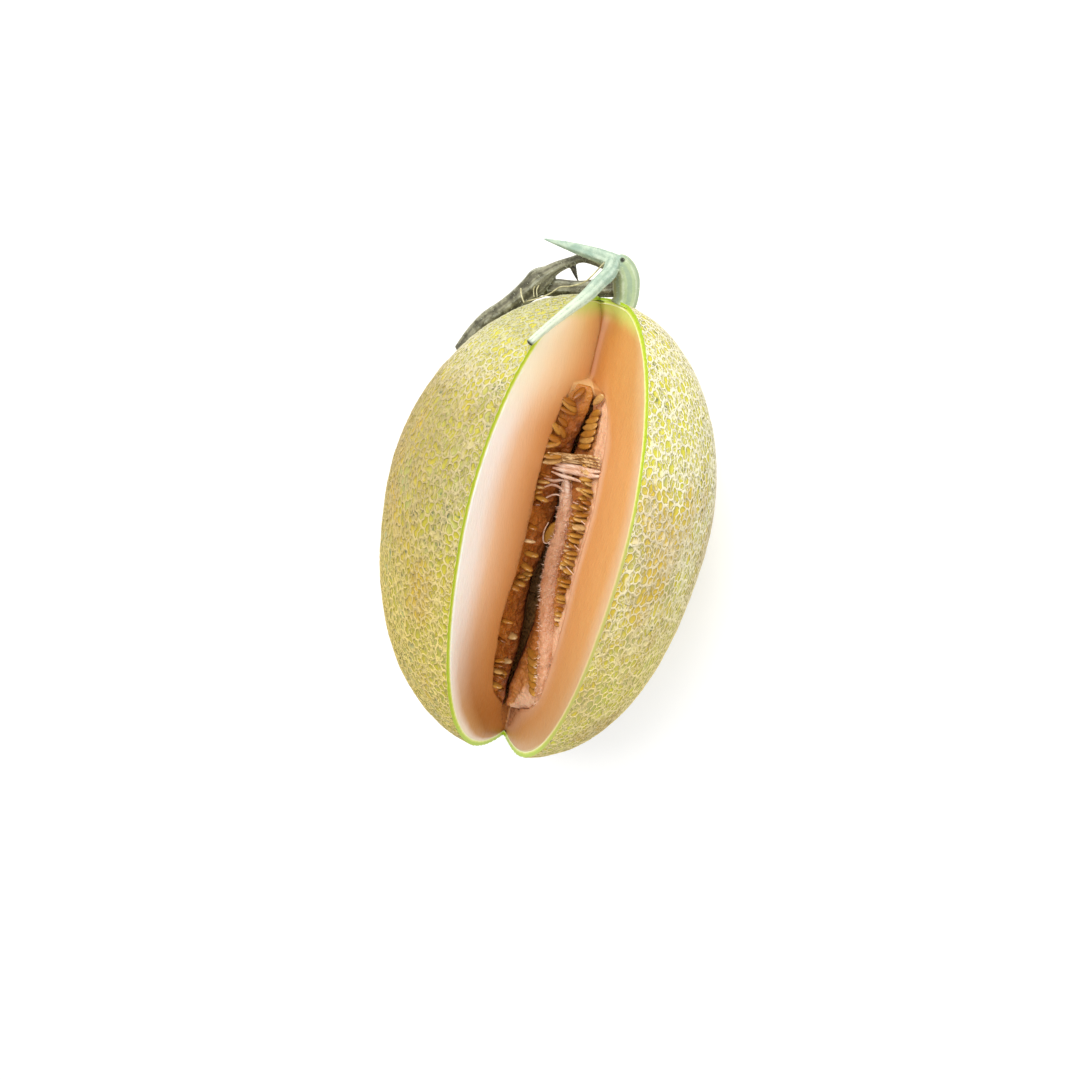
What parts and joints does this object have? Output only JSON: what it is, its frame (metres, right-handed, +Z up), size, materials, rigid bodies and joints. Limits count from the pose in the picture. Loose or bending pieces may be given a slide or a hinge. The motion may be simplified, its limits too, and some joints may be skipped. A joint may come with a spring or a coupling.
{
  "type": "netted melon with a wedge cut out",
  "caption": "Oval melon with a raised corky net, a long wedge cut out to show orange flesh, seeds and pulp, and a stalk with a piece of vine.",
  "frame": {"origin": "on the small flat spot that the melon rests on, under its widest section, at the surface it rests on", "axes": "+Z up, out through the open wedge; +Y along the melon towards its stem end; +X to the right of someone who looks along +Y"},
  "size_m": [0.1523, 0.2445, 0.1439],
  "materials": {
    "netted_rind": "dull green-yellow fruit skin under a pale corky net",
    "orange_flesh": "moist cut fruit flesh, paler towards the rind",
    "pale_pulp": "moist pale pulp strands",
    "seeds": "glossy wet seeds in brown pulp",
    "green_stem": "dry pale green stalk with fine ribs"
  },
  "bodies": {
    "root": {"rind": "netted_rind", "flesh": "orange_flesh", "placenta": "pale_pulp", "seeds_left": "seeds", "seeds_right": "seeds", "stem": "green_stem"}
  },
  "joints": []
}
